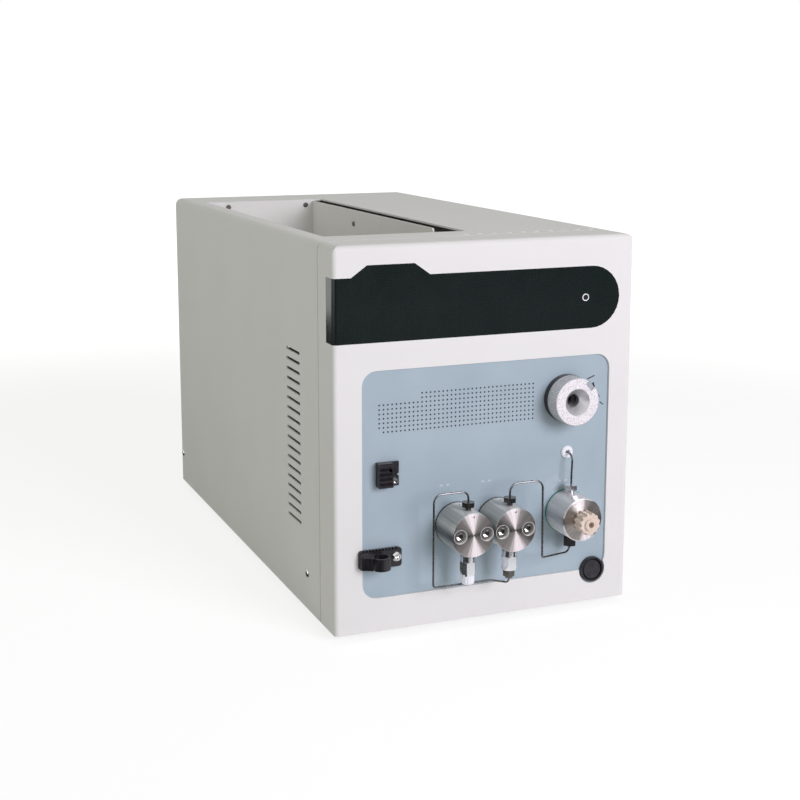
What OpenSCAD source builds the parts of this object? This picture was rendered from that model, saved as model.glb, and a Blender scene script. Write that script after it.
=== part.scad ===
// Bench-top liquid chromatography pump module with manual injector.
// Front faces -Y, top is +Z, the feet stand on z = 0.

/* [Casing] */
// Width of the casing
body_w = 260; // [240:1:300]
// Height of the casing above its feet
body_h = 308; // [296:1:340]
// Depth from bezel face to rear edge
body_d = 500; // [480:1:600]
// Sheet thickness of the cover
sheet_t = 1.6; // [1.2:0.1:2.5]
// Radius of the cover's long folds
fold_r = 7; // [5:0.5:9]
// Height of the rubber feet
foot_h = 6; // [4:0.5:12]
// Radius of the rubber feet
foot_r = 10; // [6:0.5:14]
// Distance of each foot from the casing's edges
foot_inset = 40; // [20:1:60]

/* [Bezel] */
// Depth of the moulded bezel
bezel_d = 36; // [30:1:44]
// Wall of the bezel
bezel_t = 3; // [2.6:0.1:4]
// Radius of the bezel's upright corners
bezel_corner_r = 3.5; // [2:0.5:10]
// Radius of the bezel's top front edge
brow_r = 4.5; // [4.2:0.1:6.5]
// Depth of the shadow groove between bezel and cover
groove = 1.2; // [0.6:0.1:1.5]
// Width of the shadow groove
groove_w = 1.4; // [1:0.1:2.5]

/* [Display] */
// Distance of the window's upper edge below the casing's top
window_drop = 24.7; // [20:0.1:30]
// Gap between the panel opening and the display window
window_gap = 22; // [16:0.5:26]
// Right end of the display window, from the left side
window_end = 247.5; // [230:0.5:248]
// How far the window runs back round the left side
window_wrap = 16; // [12:0.5:24]
// Thickness of the window
window_t = 1.5; // [1:0.1:1.8]
// Height of the raised tab over the window
tab_h = 9.2; // [4:0.2:10]
// Left end of the tab
tab_x = 14.6; // [12:0.2:20]
// Width of the tab at its foot
tab_w = 65.2; // [40:0.2:80]
// Sideways run of the tab's slanted ends
tab_slope = 13; // [6:0.5:16]
// Radius of the status light's ring
led_r = 3; // [2:0.1:4]

/* [Panel] */
// Left edge of the recessed panel
panel_x = 23; // [18:0.5:28]
// Lower edge of the recessed panel
panel_z = 27.5; // [20:0.5:32]
// Width of the recessed panel
panel_w = 217.2; // [210:0.1:222]
// Height of the recessed panel
panel_h = 183; // [176:0.5:190]
// Corner radius of the panel opening
panel_corner_r = 12; // [6:0.5:16]
// Depth of the panel behind the bezel face
recess = 1.8; // [1:0.1:2.2]
// Thickness of the panel
panel_t = 2; // [1.5:0.1:3]
// Overlap of the panel behind the bezel
panel_lap = 4; // [2:0.5:6]

/* [Pump heads] */
// Centre of the first head from the left side
head_x = 103.6; // [98:0.2:108]
// Distance between the two heads
head_pitch = 36.3; // [36.2:0.1:44]
// Height of the heads' axis
head_z = 80.6; // [76:0.2:90]
// Radius of the heads
head_r = 17.8; // [16.5:0.1:18]
// Reach of the heads in front of the bezel
head_reach = 33; // [30:0.5:45]
// Thickness of the head and purge gaskets
gasket_t = 1.2; // [0.6:0.1:2]
// Sideways offset of the head screws
head_screw_dx = 11.4; // [10.8:0.1:11.8]
// Radius of the screw counterbores
bore_r = 5.4; // [5.2:0.1:5.6]
// Depth of the screw counterbores
bore_depth = 6.5; // [4:0.5:10]
// Reach of the ports' plane in front of the bezel
port_reach = 22; // [18:0.5:24]

/* [Fittings] */
// Outer radius of the steel capillary
tube_r = 0.8; // [0.6:0.05:0.9]
// Width of the check valves across their flats
valve_af = 12; // [10:0.2:13]
// Length of the check valves below the head
valve_len = 17.2; // [12:0.2:20]
// Length of the check valves' round collar above the hexagon
valve_collar = 6; // [3:0.2:8]
// Radius of the white inlet nut
inlet_nut_r = 5.3; // [4.5:0.1:6]
// Length of the nuts below the check valves
lower_nut_len = 7.2; // [6:0.1:9]
// Bore radius of the solvent inlet
inlet_bore_r = 1.65; // [1:0.05:2.5]
// Radius of the outlet nuts
outlet_nut_r = 5; // [4:0.1:5.6]
// Height of the outlet nuts
outlet_nut_len = 3.8; // [3:0.1:6]
// Neck length between head and outlet nut
neck_len = 2.8; // [2:0.1:5]
// Neck radius of the outlet fittings
outlet_neck_r = 2.3; // [1.6:0.1:3]
// Neck radius of the check valves
valve_neck_r = 4; // [3:0.1:5]
// Centre of the capillary's grommet from the left side
grommet_x = 203; // [198:0.2:208]
// Height of the capillary's grommet
grommet_z = 130.3; // [124:0.1:140]
// Radius of the grommet's flange
grommet_r = 5.2; // [4:0.1:6]

/* [Purge valve] */
// Centre of the purge valve from the left side
purge_x = 202.3; // [198:0.1:206]
// Radius of the purge valve body
purge_r = 17.8; // [16:0.1:18]
// Reach of the purge body in front of the bezel
purge_reach = 29; // [26:0.5:34]
// Reach of the purge valve's side ports
purge_port = 8.5; // [7:0.5:12]
// Radius of the purge knob
purge_knob_r = 9.2; // [7:0.1:11]
// Length of the purge knob's fluted grip
purge_knob_len = 10.5; // [8:0.5:14]
// Number of flutes on the purge knob
purge_flutes = 12; // [8:1:13]
// Radius of the flutes
flute_r = 1.6; // [1:0.1:1.8]
// Length of the purge knob's front boss
purge_boss_len = 1.8; // [1:0.1:4]
// Bore radius of the waste outlet
waste_r = 2.4; // [1.5:0.1:3]
// Radius of the purge knob's stem
stem_r = 4; // [3.2:0.1:5]
// Visible length of the stem between body and knob
stem_gap = 2; // [1:0.1:4]
// Neck radius of the purge valve's side nuts
port_neck_r = 2.4; // [1.8:0.1:3]
// Length of the purge valve's lower nut with its collar
purge_low_len = 8.8; // [6:0.1:10]

/* [Injector] */
// Centre of the injector from the left side
injector_x = 201; // [196:0.5:206]
// Height of the injector's axis
injector_z = 176; // [170:0.5:182]
// Radius of the injector knob
knob_r = 19.5; // [16:0.1:22]
// Reach of the injector knob in front of the bezel
knob_reach = 18.7; // [15:0.1:24]
// Reach of the black ring behind the knob
ring_reach = 3.5; // [2:0.1:5]
// Mouth radius of the needle funnel
funnel_r = 11; // [9:0.1:13]
// Depth of the needle funnel
funnel_depth = 7.5; // [5:0.1:9]
// Radius of the needle port
port_r = 5.35; // [4:0.05:7]
// Bore radius of the needle guide
needle_r = 0.8; // [0.4:0.05:1.2]
// Number of ridges on the injector knob
knob_ridges = 60; // [36:1:72]
// Width of the index step milled into the knob's front edge
index_w = 8; // [4:0.5:10]
// Depth of the index step inwards from the knob's edge
index_depth = 4.7; // [3:0.1:5]

/* [Switch] */
// Centre of the power switch from the left side
switch_x = 228.3; // [226:0.1:230]
// Height of the power switch
switch_z = 27; // [25:0.1:32]
// Radius of the switch flange
switch_r = 10.8; // [10.6:0.1:11.2]
// Radius of the bezel's lobe round the switch
lobe_r = 12; // [11.5:0.1:13]
// Tilt of the rocker at rest
rocker_tilt = 8; // [4:0.5:9]

/* [Column clips] */
// Left edge of the upper clip
clip_x = 35; // [30:0.5:40]
// Lower edge of the upper clip
upper_clip_z = 118.3; // [110:0.5:126]
// Lower edge of the lower clip
lower_clip_z = 51; // [46:0.5:58]
// Bore radius of the column ring
clip_bore_r = 5.8; // [4.5:0.1:7]
// Wall of the column ring
clip_wall = 1.9; // [1.5:0.1:3]
// Height of the column ring
clip_h = 10; // [8:0.5:13]
// Width of the column ring's mouth
clip_mouth = 1.4; // [0.8:0.1:3]

/* [Bottle well] */
// Left edge of the well opening
well_x = 17; // [14:0.5:24]
// Front edge of the well opening
well_y = 70; // [60:1:90]
// Width of the well opening
well_w = 124.5; // [110:0.5:130]
// Length of the well opening
well_l = 365; // [300:1:380]
// Width of the well tray
tray_w = 114.4; // [100:0.2:116]
// Depth of the well tray
tray_depth = 80; // [60:1:84]
// Wall of the well tray
tray_t = 1.5; // [1:0.1:2]

/* [Vents] */
// Number of louvre slots on each side
louvre_n = 18; // [6:1:18]
// Pitch of the louvre slots
louvre_pitch = 8.39; // [7:0.01:9]
// Height of the lowest louvre slot
louvre_z = 69.5; // [60:0.5:80]
// Front end of the louvre slots
louvre_y = 82; // [70:0.5:100]
// Length of the louvre slots
louvre_l = 35; // [20:1:50]
// Width of the louvre slots
louvre_w = 2.6; // [2:0.1:4]
// Number of slots across the top
top_slot_n = 10; // [4:1:10]
// Pitch of the top slots
top_slot_pitch = 12.8; // [11:0.1:12.9]
// Gap between the fan and the right side
fan_margin = 26; // [12:1:40]
// Height of the fan's lower edge
fan_base = 40; // [26:1:60]
// Reach of the fan guard behind the rear panel
guard_reach = 4; // [2:0.2:8]
// Size of the fan frame
fan_size = 80; // [60:1:92]
// Depth of the fan frame
fan_depth = 25; // [20:1:30]

/* [Drive] */
// Width of the pump drive casting
drive_w = 76; // [70:1:90]
// Length of the pump drive casting
drive_l = 92; // [80:1:110]
// Height of the pump drive casting
drive_h = 72; // [60:1:80]
// Distance of the cam shaft behind the panel
cam_depth = 56; // [40:1:66]
// Radius of the cam shaft
cam_shaft_r = 5; // [4:0.5:7]
// Gap between the pump drive and the pulleys
pulley_gap = 8; // [5:0.5:14]
// Radius of the cam pulley
cam_pulley_r = 22; // [16:0.5:28]
// Radius of the motor pulley
motor_pulley_r = 10; // [8:0.5:14]
// Distance between the pulleys' shafts
belt_span = 90; // [80:1:110]
// Width of the drive belt
belt_w = 9; // [6:0.5:12]
// Width across the motor's flange
motor_w = 57; // [42:1:60]
// Length of the motor
motor_l = 72; // [50:1:90]

/* [Electronics] */
// Centre of the mains inlet from the left side
socket_x = 52; // [36:1:60]
// Height of the mains inlet
socket_z = 60; // [30:1:90]
// Gap between the rear panel and the power supply and control board
back_gap = 88; // [40:1:100]
// Width of the power supply
psu_w = 80; // [60:1:90]
// Length of the power supply
psu_l = 160; // [120:1:180]
// Height of the power supply
psu_h = 42; // [30:1:60]
// Width of the control board
board_w = 120; // [90:1:130]
// Length of the control board
board_l = 180; // [140:1:200]
// Height of the control board's standoffs
board_lift = 10; // [6:0.5:16]
// Thickness of the circuit boards
board_t = 1.6; // [1:0.1:2.4]

/* [Hidden] */
$fn = 48;
// Clearance of a piece that slides or screws into another
fit_gap = 0.05;
// Gap between a turning piece and what stands beside it
run_gap = 0.3;
window_z = panel_z + panel_h + window_gap;
window_h = body_h - window_drop - window_z;
panel_y = recess;
panel_back = panel_y + panel_t;
gasket_y = panel_y - gasket_t;
head2_x = head_x + head_pitch;
head_top = head_z + head_r;
head_low = head_z - head_r;
valve_low = head_low - valve_len;
nut_low = valve_low - lower_nut_len;
outlet_z = head_top + neck_len;
outlet_top = outlet_z + outlet_nut_len;
purge_front = purge_reach + stem_gap + purge_knob_len + purge_boss_len;
front_y = (purge_front - body_d - guard_reach) / 2;
tray_x1 = well_x + tray_w;
tray_z0 = body_h - sheet_t - tray_depth;
floor_t = 2;
slot_y = bezel_d + 7.5;
tongue_y = bezel_d + 16;
rear_y = body_d - sheet_t;
fan_x = body_w - fan_margin - fan_size / 2;
fan_z = fan_base + fan_size / 2;
fan_y = rear_y - fan_depth;
rotor_r = fan_size / 2 - 4;
drive_x = head_x + head_pitch / 2 - drive_w / 2;
cam_y = panel_back + cam_depth;
motor_y = cam_y + belt_span;
pulley_x = drive_x + drive_w + pulley_gap;
pulley_w = belt_w + 1;
motor_x1 = pulley_x - 10;
motor_shaft_r = 3.2;
board_z = floor_t + board_lift;
inner_y1 = rear_y - back_gap;
psu_x = body_w - sheet_t - floor_t - 4 - psu_w;
board_x = sheet_t + floor_t + 16;
led_x = window_end - window_h / 2 - 5.8;
led_z = window_z + window_h / 2;
shaft_r = port_r + 1.2;
rocker_hole_r = 9;
rocker_r = 8.2;
rocker_y = panel_y - 0.3;
purge_top = head_z + purge_r;
purge_nut_top = purge_top + neck_len + outlet_nut_len;
purge_low_x = purge_x - 0.3;
purge_low = head_z - purge_r - purge_low_len;
// Depth of the crossover capillary's lower run, behind the solvent inlet
run_y = -port_reach + 4;
// Routes of the steel capillaries
crossover_route = [[head_x, -port_reach, outlet_top - 4], [head_x, -port_reach, outlet_top + 8.6],
                   [head_x - 29.4, -port_reach, outlet_top + 8.4], [head_x - 27.9, run_y, nut_low - 1.6],
                   [head2_x - 14, run_y, nut_low - 1.8], [head2_x, -port_reach, nut_low - 4.2],
                   [head2_x, -port_reach, nut_low + 4]];
purge_route = [[head2_x, -port_reach, outlet_top - 4], [head2_x, -port_reach, outlet_top + 10.8],
               [head2_x + 29.1, -port_reach, outlet_top + 10.8], [head2_x + 29.7, -port_reach, purge_low - 2.8],
               [purge_low_x, -purge_port, purge_low - 5.8], [purge_low_x, -purge_port, purge_low + 4]];
injector_route = [[grommet_x, panel_back + 12, grommet_z], [grommet_x, -purge_port, grommet_z],
                  [purge_x, -purge_port, purge_nut_top + 6.5], [purge_x, -purge_port, purge_top + 2]];

// Casing coordinates: x from the left side, y from the bezel face, z from the casing's base
module casing() {
    translate([-body_w / 2, front_y, foot_h]) children();
}

module box(x0, x1, y0, y1, z0, z1) {
    translate([x0, y0, z0]) cube([x1 - x0, y1 - y0, z1 - z0]);
}

// Round bar along X, Y or Z
module bar_x(y, z, x0, x1, r) {
    translate([x0, y, z]) rotate([0, 90, 0]) cylinder(h = x1 - x0, r = r);
}

module bar_y(x, z, y0, y1, r, r2 = -1) {
    translate([x, y0, z]) rotate([-90, 0, 0])
        cylinder(h = y1 - y0, r1 = r, r2 = r2 < 0 ? r : r2);
}

module bar_z(x, y, z0, z1, r, r2 = -1) {
    translate([x, y, z0]) cylinder(h = z1 - z0, r1 = r, r2 = r2 < 0 ? r : r2);
}

// Outline in X and Z, extruded from y0 to y1
module along_y(y0, y1) {
    translate([0, y1, 0]) rotate([90, 0, 0]) linear_extrude(y1 - y0) children();
}

// Outline in Y and Z, extruded from x0 to x1
module along_x(x0, x1) {
    translate([x0, 0, 0]) rotate([90, 0, 90]) linear_extrude(x1 - x0) children();
}

function arc(cx, cy, r, a0, a1, n = 6) =
    [for (i = [0:n]) let (a = a0 + (a1 - a0) * i / n) [cx + r * cos(a), cy + r * sin(a)]];

function round_rect(x0, y0, x1, y1, r) =
    concat(arc(x1 - r, y0 + r, r, -90, 0), arc(x1 - r, y1 - r, r, 0, 90),
           arc(x0 + r, y1 - r, r, 90, 180), arc(x0 + r, y0 + r, r, 180, 270));

function unit(v) = v / norm(v);

// Rounds the corner at b with radius r, as points from the leg to a to the leg to c
function bend(a, b, c, r, n = 6) =
    let (u = unit(a - b), v = unit(c - b), half = acos(u * v) / 2,
         leg = r / tan(half), centre = b + unit(u + v) * (r / sin(half)),
         p = b + u * leg - centre, q = b + v * leg - centre, sweep = 180 - 2 * half)
    [for (i = [0:n])
        centre + p * sin(sweep * (1 - i / n)) / sin(sweep) + q * sin(sweep * i / n) / sin(sweep)];

function route(p, r) =
    [p[0], for (i = [1:len(p) - 2]) each bend(p[i - 1], p[i], p[i + 1], r[i - 1]), p[len(p) - 1]];

function heading(p, i) = unit(p[min(i + 1, len(p) - 1)] - p[max(i - 1, 0)]);

function carry(p, n0, i = 1) =
    i >= len(p) ? [n0]
    : let (t = heading(p, i)) concat([n0], carry(p, unit(n0 - t * (n0 * t)), i + 1));

// Round tube swept along a route of points
module swept(p, r, sides = 12) {
    start = heading(p, 0);
    side = unit(cross(start, abs(start.y) < 0.9 ? [0, 1, 0] : [1, 0, 0]));
    normals = carry(p, side);
    rings = [for (i = [0:len(p) - 1]) let (n = normals[i], m = cross(heading(p, i), n))
        for (k = [0:sides - 1]) p[i] + r * (n * cos(360 * k / sides) + m * sin(360 * k / sides))];
    last = (len(p) - 1) * sides;
    polyhedron(rings, concat(
        [[for (k = [0:sides - 1]) k]],
        [for (i = [0:len(p) - 2]) for (k = [0:sides - 1]) let (j = (k + 1) % sides)
            [i * sides + k, (i + 1) * sides + k, (i + 1) * sides + j, i * sides + j]],
        [[for (k = [sides - 1:-1:0]) last + k]]));
}

// Casing outline seen from the front, shrunk by e
function casing_outline(e) =
    concat([[e, e], [body_w - e, e]], arc(body_w - fold_r, body_h - fold_r, fold_r - e, 0, 90),
           arc(fold_r, body_h - fold_r, fold_r - e, 90, 180));

// Solid form of the bezel, shrunk by e and open to the rear
module bezel_form(e, back) {
    c = max(bezel_corner_r - e, 0.4);
    b = brow_r;
    intersection() {
        translate([0, 0, e]) linear_extrude(body_h - 2 * e)
            polygon(concat(arc(e + c, e + c, c, 180, 270), arc(body_w - e - c, e + c, c, 270, 360),
                           [[body_w - e, back], [e, back]]));
        along_x(0, body_w)
            polygon(concat([[e, e], [back, e], [back, body_h - e]],
                           arc(b, body_h - b, b - e, 90, 180)));
        along_y(-1, back + 1) polygon(casing_outline(e));
    }
}

// Display window, let into the bezel's face and left side
module window_form() {
    r = window_h / 2;
    top = window_z + window_h;
    end_x = window_end - r;
    intersection() {
        difference() {
            bezel_form(0, bezel_d);
            bezel_form(window_t, bezel_d + 1);
        }
        union() {
            along_y(-1, bezel_t) {
                polygon(concat([[-1, top], [-1, window_z]], arc(end_x, window_z + r, r, -90, 90, 16)));
                polygon([[tab_x, top - 1], [tab_x, top], [tab_x + tab_slope, top + tab_h],
                         [tab_x + tab_w - tab_slope, top + tab_h], [tab_x + tab_w, top],
                         [tab_x + tab_w, top - 1]]);
            }
            box(-1, bezel_t, -1, window_wrap, window_z, top);
        }
    }
}

module panel_outline(e) {
    polygon(round_rect(panel_x - e, panel_z - e, panel_x + panel_w + e, panel_z + panel_h + e,
                       panel_corner_r + e / 2));
    translate([switch_x, switch_z]) circle(r = lobe_r + e);
}

module base_chassis() {
    color("silver") casing() {
        difference() {
            box(sheet_t, body_w - sheet_t, bezel_d, rear_y, 0, floor_t);
            for (i = [0:9])
                box(foot_inset + 20, foot_inset + 70, bezel_d + 94 + i * 9, bezel_d + 98 + i * 9,
                    -1, floor_t + 1);
        }
        box(sheet_t, sheet_t + floor_t, bezel_d + 2, rear_y, floor_t, 22);
        box(body_w - sheet_t - floor_t, body_w - sheet_t, bezel_d + 2, rear_y, floor_t, 22);
    }
}

function slot(x, y, l, w, n = 5) =
    concat(arc(x + l / 2 - w / 2, y, w / 2, -90, 90, n), arc(x - l / 2 + w / 2, y, w / 2, 90, 270, n));

module cover() {
    color("gainsboro") casing() difference() {
        along_y(bezel_d, body_d) polygon(casing_outline(0));
        along_y(bezel_d - 1, body_d + 1)
            polygon(concat([[sheet_t, -1], [body_w - sheet_t, -1]],
                arc(body_w - fold_r, body_h - fold_r, fold_r - sheet_t, 0, 90),
                arc(fold_r, body_h - fold_r, fold_r - sheet_t, 90, 180)));
        box(well_x, well_x + well_w, well_y, well_y + well_l, body_h - 9, body_h + 1);
        for (i = [0:louvre_n - 1])
            along_x(-1, body_w + 1)
                polygon(slot(louvre_y + louvre_l / 2, louvre_z + i * louvre_pitch, louvre_l, louvre_w));
        for (i = [0:top_slot_n - 1]) {
            x = body_w - 13.4 - i * top_slot_pitch;
            translate([0, 0, body_h - 5]) linear_extrude(10)
                polygon(slot(x, slot_y, 7, 5));
        }
    }
}

module rear_panel() {
    color("silver") casing() difference() {
        along_y(rear_y, body_d)
            polygon(concat([[sheet_t, 0], [body_w - sheet_t, 0]],
                arc(body_w - fold_r, body_h - fold_r, fold_r - sheet_t, 0, 90),
                arc(fold_r, body_h - fold_r, fold_r - sheet_t, 90, 180)));
        bar_y(fan_x, fan_z, rear_y - 1, body_d + 1, rotor_r + 1.5);
        box(socket_x - 14.2, socket_x + 14.2, rear_y - 1, body_d + 1, socket_z - 10.2, socket_z + 10.2);
        box(socket_x + 42, socket_x + 58, rear_y - 1, body_d + 1, socket_z - 5, socket_z + 5);
        for (i = [0:7])
            box(foot_inset, body_w / 2, rear_y - 1, body_d + 1,
                body_h / 2 + i * 9 - 24, body_h / 2 + i * 9 - 20.5);
    }
}

module front_bezel() {
    color("white") casing() {
        difference() {
            bezel_form(0, bezel_d);
            bezel_form(bezel_t, bezel_d + 1);
            window_form();
            along_y(-1, bezel_t + 1) panel_outline(0);
            along_y(panel_y, bezel_t + 1) panel_outline(panel_lap);
            box(bezel_d - 2, window_end - window_h - 4, 0, bezel_t + 1, window_z + 8, window_z + window_h - 7);
            difference() {
                box(-1, body_w + 1, bezel_d - groove_w, bezel_d + 1, -1, body_h + 1);
                bezel_form(groove, bezel_d + 2);
            }
        }
        box(12, body_w - 12, bezel_d - 6, tongue_y, body_h - sheet_t - 1.6, body_h - sheet_t);
    }
}

module display_window() {
    color("#1f2827") casing() difference() {
        window_form();
        bar_y(led_x, led_z, -1, window_t + 1, led_r);
    }
}

module status_led() {
    color("lightgray") casing() {
        difference() {
            bar_y(led_x, led_z, -0.5, window_t, led_r);
            bar_y(led_x, led_z, -1, window_t + 1, led_r - 0.9);
        }
        bar_y(led_x, led_z, -0.2, window_t, led_r - 0.9);
    }
}

module front_panel() {
    color("#aab7c4") casing() difference() {
        along_y(panel_y, panel_back) panel_outline(panel_lap - fit_gap);
        bar_y(switch_x, switch_z, panel_y - 1, panel_back + 1, switch_r - 1 + fit_gap);
        bar_y(injector_x, injector_z, panel_y - 1, panel_back + 1, port_r + 1.5);
        bar_y(grommet_x, grommet_z, panel_y - 1, panel_back + 1, grommet_r - 1.7 + fit_gap);
        for (x = [head_x, head2_x], s = [-1, 1])
            bar_y(x + s * head_screw_dx, head_z, panel_y - 1, panel_back + 1, 3.2);
    }
}

module bottle_well() {
    x0 = well_x;
    x1 = tray_x1;
    y0 = well_y;
    y1 = well_y + well_l;
    top = body_h - sheet_t;
    color("gainsboro") casing() difference() {
        box(x0 - tray_t, x1 + tray_t, y0 - tray_t, y1 + tray_t, tray_z0, top);
        box(x0, x1, y0, y1, tray_z0 + tray_t, top + 1);
        along_x(x1 - 1, x1 + tray_t + 1)
            polygon([[y0 + 6, top + 1], [y0 + 12, top - 11], [y0 + 40, top - 11], [y0 + 47, top + 1]]);
    }
}

module pan_head(r, h) {
    difference() {
        union() {
            cylinder(h = h * 0.4, r = r);
            translate([0, 0, h * 0.4]) cylinder(h = h * 0.6, r1 = r, r2 = r * 0.72);
        }
        translate([0, 0, h * 0.45]) {
            translate([-r * 0.5, -r * 0.1, 0]) cube([r, r * 0.2, h]);
            translate([-r * 0.1, -r * 0.5, 0]) cube([r * 0.2, r, h]);
        }
    }
}

module well_screws() {
    top = body_h - sheet_t;
    color("silver") casing() {
        for (y = [well_y + 42.7, well_y + 239.2])
            translate([tray_x1, y, top - 13.2]) rotate([0, -90, 0]) pan_head(2.6, 1.4);
        for (x = [well_x + 23, tray_x1 - 7.7])
            translate([x, well_y + well_l, top - 4]) rotate([90, 0, 0]) pan_head(2.6, 1.4);
    }
}

module cover_screws() {
    z = floor_t + 29.2;
    color("silver") casing() for (y = [bezel_d + 30.3, body_d - 7.4]) {
        translate([0, y, z]) rotate([0, -90, 0]) pan_head(3, 1.4);
        translate([body_w, y, z]) rotate([0, 90, 0]) pan_head(3, 1.4);
    }
}

module rivet(x, y, z, out) {
    translate([x, y, z]) rotate([0, 90 * out, 0]) cylinder(h = 0.6, r1 = 2.4, r2 = 1.6);
}

module side_rivets() {
    color("lightgray") casing()
        for (p = [[louvre_y + 82.7, body_h - 103], [louvre_y + 84.6, 54.8], [body_d - 66.2, body_h - 102]]) {
            rivet(0, p[0], p[1], -1);
            rivet(body_w, p[0], p[1], 1);
        }
}

module feet() {
    color("#222222") casing()
        for (x = [foot_inset, body_w - foot_inset], y = [foot_inset + 20, body_d - foot_inset])
            bar_z(x, y, -foot_h, 0, foot_r * 0.88, foot_r);
}

module head_gaskets() {
    color("#151515") casing() for (x = [head_x, head2_x]) difference() {
        bar_y(x, head_z, gasket_y, panel_y, head_r + 0.25);
        for (s = [-1, 1]) bar_y(x + s * head_screw_dx, head_z, gasket_y - 1, panel_y + 1, 3.2);
    }
}

module head(x) {
    front = -head_reach;
    difference() {
        union() {
            bar_y(x, head_z, front, front + 0.5, head_r - 0.5, head_r);
            bar_y(x, head_z, front + 0.5, gasket_y, head_r);
        }
        for (s = [-1, 1]) {
            bar_y(x + s * head_screw_dx, head_z, front - 1, front + bore_depth, bore_r);
            bar_y(x + s * head_screw_dx, head_z, front, gasket_y + 1, 3.2);
        }
        bar_z(x, -port_reach, head_top - 8, head_top + 1, outlet_neck_r + fit_gap);
        bar_z(x, -port_reach, head_low - 1, head_low + 8, valve_neck_r + fit_gap);
        bar_y(x, head_z + head_r - 2.8, front - 1, front + 3, 0.65);
        bar_y(x, head_z, front - 1, front + 0.8, 0.6);
        bar_z(x, -6, head_top - 3, head_top + 1, 0.7);
    }
}

module head_1() {
    color("#a9a9a5") casing() head(head_x);
}

module head_2() {
    color("#a9a9a5") casing() head(head2_x);
}

module head_screws() {
    seat = -head_reach + bore_depth;
    color("silver") casing() for (x = [head_x, head2_x], s = [-1, 1])
        difference() {
            union() {
                bar_y(x + s * head_screw_dx, head_z, seat - 5, seat, bore_r - 0.5);
                bar_y(x + s * head_screw_dx, head_z, seat, panel_back + 8, 3);
            }
            translate([x + s * head_screw_dx, seat - 6, head_z]) rotate([-90, 0, 0])
                cylinder(h = 4, r = 2.9, $fn = 6);
        }
}

module outlet_nuts() {
    color("#8c8c86") casing() for (x = [head_x, head2_x]) difference() {
        union() {
            translate([x, -port_reach, outlet_z])
                cylinder(h = outlet_nut_len, r = outlet_nut_r * 1.08, $fn = 6);
            bar_z(x, -port_reach, head_top - 7.5, outlet_z, outlet_neck_r);
        }
        bar_z(x, -port_reach, outlet_z - 2, outlet_top + 1, tube_r + fit_gap);
    }
}

module check_valves() {
    hex_r = valve_af / sqrt(3);
    color("#9b9b96") casing() for (x = [head_x, head2_x]) difference() {
        union() {
            bar_z(x, -port_reach, head_low - 1.2, head_low + 7.5, valve_neck_r);
            bar_z(x, -port_reach, head_low - valve_collar, head_low - 1, valve_af / 2);
            intersection() {
                translate([x, -port_reach, valve_low])
                    cylinder(h = valve_len - valve_collar, r = hex_r, $fn = 6);
                bar_z(x, -port_reach, valve_low, valve_low + 12, valve_af / 2 - 0.2, valve_af / 2 + 2.4);
            }
        }
        bar_z(x, -port_reach, valve_low - 1, valve_low + 4, 1.2);
    }
}

module inlet_nut() {
    r = inlet_nut_r;
    color("#e8ecf4") casing() difference() {
        union() {
            bar_z(head_x, -port_reach, nut_low + 1, valve_low, r);
            bar_z(head_x, -port_reach, nut_low, nut_low + 1, r - 0.7, r);
        }
        bar_z(head_x, -port_reach, nut_low - 1, valve_low + 1, inlet_bore_r);
        for (i = [0:11]) rotate_about(head_x, -port_reach, i * 30)
            bar_z(head_x + r + 0.35, -port_reach, nut_low - 1, valve_low - 1.5, 0.7);
    }
}

module rotate_about(x, y, a) {
    translate([x, y, 0]) rotate([0, 0, a]) translate([-x, -y, 0]) children();
}

module crossover_nut() {
    color("#8c8c86") casing() difference() {
        union() {
            translate([head2_x, -port_reach, nut_low + 2]) cylinder(h = lower_nut_len - 2, r = 5.2, $fn = 6);
            bar_z(head2_x, -port_reach, nut_low, nut_low + 2, 3, 4.2);
        }
        bar_z(head2_x, -port_reach, nut_low - 1, nut_low + 5, tube_r + fit_gap);
    }
}

module tube_crossover() {
    color("#5e6062") casing() swept(route(crossover_route, [5.5, 6.5, 2.4, 6, 2.4]), tube_r);
}

module tube_to_purge() {
    color("#5e6062") casing() swept(route(purge_route, [7, 6.5, 1.8, 5.4]), tube_r);
}

module tube_from_injector() {
    color("#5e6062") casing() swept(route(injector_route, [6, 12]), tube_r);
}

module purge_gasket() {
    color("#0f6a66") casing() bar_y(purge_x, head_z, gasket_y, panel_y, purge_r + 0.3);
}

module purge_body() {
    front = -purge_reach;
    color("#b4b4b0") casing() difference() {
        union() {
            bar_y(purge_x, head_z, front, front + 0.8, purge_r - 0.8, purge_r);
            bar_y(purge_x, head_z, front + 0.8, gasket_y, purge_r);
        }
        bar_y(purge_x, head_z, front - 1, front + 12, stem_r + fit_gap);
        bar_z(purge_x, -purge_port, purge_top - 5, purge_top + 1, port_neck_r + fit_gap);
        bar_z(purge_x, -purge_port, head_z - purge_r - 1, head_z - purge_r + 5, port_neck_r + fit_gap);
    }
}

module purge_top_nut() {
    color("#8c8c86") casing() difference() {
        union() {
            translate([purge_x, -purge_port, purge_top + neck_len])
                cylinder(h = outlet_nut_len, r = outlet_nut_r * 1.08, $fn = 6);
            bar_z(purge_x, -purge_port, purge_top - 4.5, purge_top + neck_len, port_neck_r);
        }
        bar_z(purge_x, -purge_port, purge_top + 1, purge_nut_top + 1, tube_r + fit_gap);
    }
}

module purge_low_nut() {
    x = purge_low_x;
    top = head_z - purge_r;
    color("#3b3d3c") casing() difference() {
        union() {
            translate([x, -purge_port, purge_low]) cylinder(h = top - 1 - purge_low, r = 5.6, $fn = 6);
            bar_z(x, -purge_port, top - 1, top + 4.5, port_neck_r - 0.3);
        }
        bar_z(x, -purge_port, purge_low - 1, purge_low + 5, tube_r + fit_gap);
    }
}

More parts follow.
